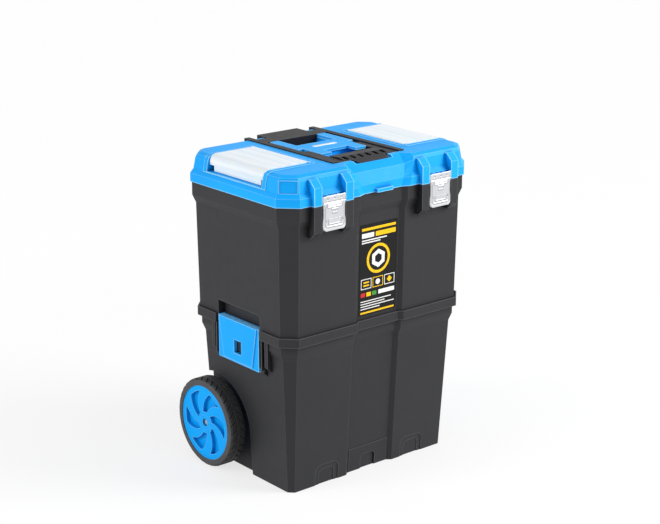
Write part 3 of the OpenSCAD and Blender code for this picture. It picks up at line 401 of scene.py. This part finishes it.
def lever_half(d):
    """Half width of the sheet at a distance below its top edge."""
    if d < TAB_FROM:
        return blend(LEVER_TOP, LEVER_WAIST, (d - WAIST_FROM) / WAIST_RUN)
    round_at = LEVER_H - LEVER_R
    if d < round_at:
        return blend(LEVER_WAIST, LEVER_TAB, (d - TAB_FROM) / TAB_RUN)
    return LEVER_TAB - LEVER_R + math.sqrt(max(0.0, LEVER_R ** 2 - (d - round_at) ** 2))


def lever_slot(x, d):
    """1 inside the two upright slots of the sheet."""
    gaps = [frame_distance(x - at, d, SLOT_D, SLOT_HALF_W, SLOT_HALF_H, SLOT_HALF_W) for at in SLOTS]
    return max(blend(1, 0, gap + SLOT_EDGE) for gap in gaps)


def dimple(x, d, spread):
    """1 in the middle of a dimple, falling off round it."""
    return math.exp(-(x ** 2 + (d - DIMPLE_D) ** 2) / spread)


def lever_relief(x, d):
    """How far the pressed sheet stands proud at a point of its face."""
    past = d - CREASE_D
    h = blend(0.0, STEP_UP, (past + STEP_LEAD) / STEP_RUN) - CREASE_DEEP * bead(past, CREASE_W)
    for at in DIMPLES:
        h -= DIMPLE_DEEP * dimple(x - at, d, DIMPLE_SPREAD)
    for *outline, high, wide in LEVER_FRAMES:
        h += high * bead(frame_distance(x, d, *outline), wide)
    h -= SLOT_DEEP * lever_slot(x, d)
    return h + LIP_OUT * blend(0, 1, (d - LIP_FROM) / LIP_RUN)


def lever_shade(x, d):
    """How much painted shade the sheet gets at a point: 1 in a dimple, crease or slot, less beside the
    embossed outlines.
    """
    marks = [bead(d - CREASE_D, CREASE_SHADE), lever_slot(x, d)]
    marks += [dimple(x - at, d, DIMPLE_SHADE) for at in DIMPLES]
    for *outline, _, wide in LEVER_FRAMES:
        marks.append(FRAME_SHADE * bead(frame_distance(x, d, *outline) - wide * SHADE_AT, SHADE_W))
    return max(marks)


def make_lever(side):
    node = "latch_lever_" + side
    low, high = node_box(node)
    mid, front, top, claw_end = (low[0] + high[0]) / 2, low[1] + FACE_IN, high[2], high[1]
    straight = [LEVER_H * k / ROWS for k in range(STRAIGHT_ROWS)]
    turns = [math.radians(90 * k / CORNER_ROWS) for k in range(1, CORNER_ROWS + 1)]
    corner = [LEVER_H - LEVER_R + LEVER_R * math.sin(turn) for turn in turns]
    drops = straight + [d for d in corner if d > straight[-1] + LEAST_ROW]
    points, pressed_shade = [], []
    for d in drops:
        half = lever_half(d)
        points.append((mid - half, front + SIDE_BACK, top - d))
        pressed_shade.append(0.0)
        for k in range(ACROSS + 1):
            x = half * (2 * k / ACROSS - 1)
            inside = min(SIDE_ROUND, half - abs(x))
            edge = SIDE_ROUND - math.sqrt(max(0.0, SIDE_ROUND ** 2 - (SIDE_ROUND - inside) ** 2))
            points.append((mid + x, front + edge - lever_relief(x, d) * inside / SIDE_ROUND, top - d))
            # Painted shade at this point, kept as a mesh attribute for the plating's colour
            pressed_shade.append(lever_shade(x, d))
        points.append((mid + half, front + SIDE_BACK, top - d))
        pressed_shade.append(0.0)
    faces = grid_faces(len(drops), ACROSS + 3)
    path = [(front + along, top - drop) for along, drop in CLAW_ROOT]
    path += [(claw_end - along, top - drop) for along, drop in CLAW_TIP]
    for at in CLAWS:
        start = len(points)
        for y, z in path:
            points += [(mid + at - CLAW_HALF, y, z), (mid + at + CLAW_HALF, y, z)]
        faces += grid_faces(len(path), 2, start)
    ear_y, ear_z = low[1] + EAR_IN, top - EAR_DOWN
    for at in EARS:
        start = len(points)
        points += [(mid + at, front + EAR_ROOT, ear_z + EAR_HALF),
                   (mid + at, front + EAR_ROOT, ear_z - EAR_HALF)]
        for k in range(EAR_STEPS + 1):
            a = math.radians(180 * k / EAR_STEPS - 90)
            points.append((mid + at, ear_y + EAR_REACH * math.cos(a), ear_z + EAR_HALF * math.sin(a)))
        faces.append(tuple(range(start, len(points))))
    piece = mesh_piece("latch_sheet_" + side, points, faces, [finishes["latch_steel"]], sharp=60)
    marks = piece.data.attributes.new("pressed_shade", "FLOAT", "POINT")
    marks.data.foreach_set("value", pressed_shade + [0.0] * (len(points) - len(pressed_shade)))
    sheet = piece.modifiers.new("sheet", "SOLIDIFY")
    sheet.thickness = SHEET * MM
    sheet.offset = -1
    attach(piece, node)
    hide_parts(node)


# Tyres: flat side walls and a tread of slanted blocks beside a middle rib

TREAD_PITCHES = 34
TREAD_STEPS = (0.0, 0.07, 0.24, 0.31, 0.66)
TREAD_CUT = (False, True, True, False, False)
TREAD_SLANT, SLANT_INSET = 0.9, 3
# Rows of the side wall and the shoulder: inward of the side, below the tread, and cut between blocks
TYRE_WALL = ((0, 5.6, 0), (0.5, 4.4, 0), (1.4, 3.4, 0))
TREAD_SHOULDER = ((1.9, 2.2, 2.2), (3.2, 0.7, 2.6), (5.5, 0, 2.6))
# Rows beside the middle rib: from the middle, below the tread, and cut between blocks
TREAD_RIB = ((5.4, 0, 2.6), (4.9, 2.2, 0.4), (3.3, 2.2, 0), (2.8, 0, 0))


def make_tyre(side):
    node = "tyre_" + side
    low, high = node_box(node)
    mid = [(a + b) / 2 for a, b in zip(low, high)]
    half = (high[0] - low[0]) / 2
    radius = (high[2] - low[2]) / 2
    seat = min(math.hypot(v.co.y / MM - mid[1], v.co.z / MM - mid[2]) for v in nodes[node].data.vertices)
    wall = [(half, seat, 0)] + [(half - into, radius - under, cut) for into, under, cut in TYRE_WALL]
    tread = [(half - into, radius - under, cut) for into, under, cut in TREAD_SHOULDER]
    tread += [(x, radius - under, cut) for x, under, cut in TREAD_RIB]
    near = wall + tread
    profile = [(-x, r, cut) for x, r, cut in near] + near[::-1]
    columns = TREAD_PITCHES * len(TREAD_STEPS)
    points = []
    for x, r, cut in profile:
        slant = TREAD_SLANT * min(abs(x), half - SLANT_INSET) / half
        for p in range(TREAD_PITCHES):
            for step, deep in zip(TREAD_STEPS, TREAD_CUT):
                a = 2 * math.pi * (p + step + slant) / TREAD_PITCHES
                out = r - cut if deep else r
                points.append((mid[0] + x, mid[1] + out * math.cos(a), mid[2] + out * math.sin(a)))
    faces = grid_faces(len(profile), columns, wrap=True)
    rows = len(profile)
    faces += [((rows - 1) * columns + c, (rows - 1) * columns + (c + 1) % columns, (c + 1) % columns, c)
              for c in range(columns)]
    plain = len(wall) - 1
    picks = []
    for r in range(rows):
        side_row = r < plain or r >= rows - 1 - plain
        picks += [1 if side_row else 0] * columns
    piece = mesh_piece("tread_" + side, points, faces, [finishes["tyre_black"], sidewall], picks, sharp=25)
    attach(piece, "wheel_" + side)
    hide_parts(node)


# Front label: dark film with plain bars, rings and blocks

LABEL_HALF, LABEL_R, FILM = 47, 3, 0.4
FILM_TOP, FILM_UNDER = 0.1, -0.3
INK_TOP, INK_UNDER = 0.22, 0.0
CORNER_STEPS = 4


def rectangle(x0, z0, x1, z1):
    """Outline between two corners."""
    return [(x0, z0), (x1, z0), (x1, z1), (x0, z1)]


def disc(x, z, r, sides=32, turn=0.0):
    """Outline of a disc, or of an even-sided shape of few sides."""
    angles = [turn + 2 * math.pi * k / sides for k in range(sides)]
    return [(x + r * math.cos(a), z + r * math.sin(a)) for a in angles]


def label_shapes():
    """Shapes on the label in millimetres from its lower middle: outline, outline of its hole, and ink."""
    yellow, white, red, green = range(1, 5)
    hex_turn = math.pi / 6
    shapes = [
        (rectangle(-42, 166, 42, 171), None, yellow),
        (rectangle(-42, 152, -12, 161), None, white), (rectangle(-8, 152, 42, 161), None, yellow),
        (rectangle(-42, 146, 20, 148.4), None, white), (rectangle(-42, 141.5, 4, 143.9), None, white),
        (disc(0, 108, 29, 48), disc(0, 108, 23.5, 48), yellow),
        (disc(0, 108, 18, 6, hex_turn), disc(0, 108, 9.5, 6, hex_turn), white),
    ]
    for k in range(3):
        left = -42 + 29 * k
        frame_hole = rectangle(left + 1.4, 53.4, left + 24.6, 70.6)
        shapes.append((rectangle(left, 52, left + 26, 72), frame_hole, yellow if k == 1 else white))
    shapes += [
        (rectangle(-36, 57.5, -22, 60.5), None, yellow), (rectangle(-36, 63.5, -22, 66.5), None, yellow),
        (disc(0, 62, 5.5), None, white), (disc(29, 62, 6.5, 4), None, yellow),
        (rectangle(-42, 37, -31, 45), None, red), (rectangle(-28, 37, -17, 45), None, yellow),
        (rectangle(-14, 37, -3, 45), None, green), (rectangle(2, 37, 42, 45), None, white),
    ]
    for k, reach in enumerate((38, 30, 42, 24)):
        shapes.append((rectangle(-42, 27 - 5 * k, -42 + 2 * reach, 28.8 - 5 * k), None, white))
    shapes.append((rectangle(-42, 3.5, 42, 7), None, yellow))
    return shapes


def make_label():
    node = "front_label"
    low, high = node_box(node)
    tall = high[2] - low[2]
    foot, head = high[1] - FILM, low[1]
    points, faces, picks = [], [], []

    def layer(outline, lift):
        """Adds an outline at a height over the film's middle and returns the numbers of its points."""
        start = len(points)
        points.extend((x, foot + (head - foot) * z / tall - lift, low[2] + z) for x, z in outline)
        return list(range(start, len(points)))

    def band(first, second):
        """Quads between two loops of points."""
        n = len(first)
        return [(first[k], second[k], second[(k + 1) % n], first[(k + 1) % n]) for k in range(n)]

    def slab(outline, hole, under, top, ink):
        """A closed plate over an outline, or a closed ring where it has a hole."""
        over, below = layer(outline, top), layer(outline, under)
        made = band(over, below)
        if hole:
            hole_over, hole_below = layer(hole, top), layer(hole, under)
            made += band(hole_below, hole_over) + band(hole_over, over) + band(below, hole_below)
        else:
            made += [tuple(over), tuple(reversed(below))]
        faces.extend(made)
        picks.extend([ink] * len(made))

    outline = []
    across, up, down = LABEL_HALF - LABEL_R, tall - LABEL_R, LABEL_R
    for cx, cz, start in ((across, down, -90), (across, up, 0), (-across, up, 90), (-across, down, 180)):
        for k in range(CORNER_STEPS + 1):
            a = math.radians(start + 90 * k / CORNER_STEPS)
            outline.append((cx + LABEL_R * math.cos(a), cz + LABEL_R * math.sin(a)))
    slab(outline, None, FILM_UNDER, FILM_TOP, 0)
    for shape, hole, ink in label_shapes():
        slab(shape, hole, INK_UNDER, INK_TOP, ink)
    piece = mesh_piece("label_print", points, faces, inks, picks)
    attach(piece, "upper_box")
    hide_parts(node)


# Finger ridges along the top flange of each side clip

RIDGE_PITCH, RIDGE_H, RIDGE_SUNK = 4.0, 0.9, 0.3
# Across a ridge: both ends of its crest and its far foot
CREST_FROM, CREST_TO, RIDGE_W = 0.7, 1.9, 2.6
# Along a ridge: how long its sloped ends are, and how far they fall
END_L, END_FALL = 0.8, 0.5
FLANGE_IN, FLANGE_L, FLANGE_END, TOP_IN = 3.2, 9.0, 6, 0.02


def make_ridges(side):
    node = "side_clip_" + side
    low, high = node_box(node)
    outer = low[0] if side == "left" else high[0]
    inward = 1 if side == "left" else -1
    near, far = outer + inward * FLANGE_IN, outer + inward * (FLANGE_IN + FLANGE_L)
    top = high[2] - TOP_IN
    count = int((high[1] - low[1] - FLANGE_END) / RIDGE_PITCH)
    first = (low[1] + high[1] - count * RIDGE_PITCH) / 2
    stations = ((near, END_FALL), (near + inward * END_L, 0), (far - inward * END_L, 0), (far, END_FALL))
    points, faces = [], []
    for k in range(count):
        y = first + k * RIDGE_PITCH
        start = len(points)
        for x, drop in stations:
            crest = top + RIDGE_H - drop
            points += [(x, y, top - RIDGE_SUNK), (x, y + CREST_FROM, crest), (x, y + CREST_TO, crest),
                       (x, y + RIDGE_W, top - RIDGE_SUNK)]
        bar = grid_faces(len(stations), 4, start, wrap=True)
        bar += [(start + 3, start + 2, start + 1, start), tuple(range(len(points) - 4, len(points)))]
        faces += bar if side == "right" else [tuple(reversed(face)) for face in bar]
    piece = mesh_piece("clip_ridges_" + side, points, faces, [finishes["lid_blue"]], sharp=25)
    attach(piece, node)


for side in SIDES:
    make_lever(side)
    make_tyre(side)
    make_ridges(side)
make_label()


# Camera, floor and light

PHOTO_W, SENSOR_MM = 660, 36
FOCAL_PX = 1617.22
CAMERA_AT = (-1.9414, -2.2999, 1.2960)
CAMERA_AZIMUTH = -39.52
CAMERA_ELEVATION = 16.94
FRAME_SHIFT = (0.02824, 0.00845)
FLOOR_HALF = 30
# Share of plain white in the floor close to the object and far from it, and those two distances
WHITE_SHARE, WHITE_SPAN = (0.72, 0.97), (0.45, 1.6)
WORLD_LEVEL = 0.5
LAMP_SIZE, LIT_POINT = 2.0, (0, 0, 0.3)
KEY_AT, KEY_POWER = (2.4, -2.6, 2.4), 142
FILL_AT, FILL_POWER = (-3.2, 0.9, 1.9), 56


def make_camera():
    data = bpy.data.cameras.new("camera")
    data.sensor_width = SENSOR_MM
    data.lens = FOCAL_PX / PHOTO_W * data.sensor_width
    data.shift_x, data.shift_y = FRAME_SHIFT
    camera = bpy.data.objects.new("camera", data)
    camera.location = CAMERA_AT
    camera.rotation_euler = (math.radians(90 - CAMERA_ELEVATION), 0, math.radians(CAMERA_AZIMUTH))
    bpy.context.scene.collection.objects.link(camera)
    bpy.context.scene.camera = camera


def seen_rays(tree):
    """1 on the rays by which the camera sees a thing, straight, mirrored or through glass."""
    path = tree.nodes.new("ShaderNodeLightPath")
    seen = path.outputs["Is Camera Ray"]
    for other in ("Is Glossy Ray", "Is Transmission Ray"):
        more = tree.nodes.new("ShaderNodeMath")
        more.operation = "MAXIMUM"
        tree.links.new(seen, more.inputs[0])
        tree.links.new(path.outputs[other], more.inputs[1])
        seen = more.outputs[0]
    return seen


def make_floor():
    mesh = bpy.data.meshes.new("floor")
    corners = ((-1, -1), (1, -1), (1, 1), (-1, 1))
    mesh.from_pydata([(x * FLOOR_HALF, y * FLOOR_HALF, 0) for x, y in corners], [], [(0, 1, 2, 3)])
    floor = bpy.data.objects.new("floor", mesh)
    bpy.context.scene.collection.objects.link(floor)
    f = Finish("floor")
    f.link("Base Color", f.ramp(f.noise(2, 2), (0.3, linear(248, 248, 248)), (0.7, linear(252, 252, 252))))
    f.set(Roughness=0.95)
    glow = f.add("ShaderNodeEmission")
    away = f.add("ShaderNodeVectorMath", operation="LENGTH")
    f.join(f.place, away.inputs[0])
    share = f.spread(away.outputs["Value"], *WHITE_SHARE, WHITE_SPAN)
    part = f.add("ShaderNodeMath", operation="MULTIPLY")
    f.join(seen_rays(f.tree), part.inputs[0])
    f.join(share, part.inputs[1])
    both = f.add("ShaderNodeMixShader")
    f.join(part.outputs[0], both.inputs[0])
    f.join(f.shader.outputs[0], both.inputs[1])
    f.join(glow.outputs[0], both.inputs[2])
    f.join(both.outputs[0], f.tree.nodes["Material Output"].inputs["Surface"])
    mesh.materials.append(f.material)


def area_light(name, at, power):
    data = bpy.data.lights.new(name, "AREA")
    data.shape = "DISK"
    data.size = LAMP_SIZE
    data.energy = power
    lamp = bpy.data.objects.new(name, data)
    lamp.location = at
    lamp.rotation_euler = (Vector(LIT_POINT) - Vector(at)).to_track_quat("-Z", "Y").to_euler()
    bpy.context.scene.collection.objects.link(lamp)


def make_light():
    world = bpy.data.worlds.new("world")
    bpy.context.scene.world = world
    world.use_nodes = True
    tree = world.node_tree
    back = tree.nodes["Background"]
    back.inputs["Color"].default_value = (1, 1, 1, 1)
    level = tree.nodes.new("ShaderNodeMapRange")
    level.inputs["To Min"].default_value, level.inputs["To Max"].default_value = WORLD_LEVEL, 1.0
    tree.links.new(seen_rays(tree), level.inputs["Value"])
    tree.links.new(level.outputs["Result"], back.inputs["Strength"])
    area_light("key", KEY_AT, KEY_POWER)
    area_light("fill", FILL_AT, FILL_POWER)


make_camera()
make_floor()
make_light()
bpy.context.scene.view_settings.view_transform = "Standard"
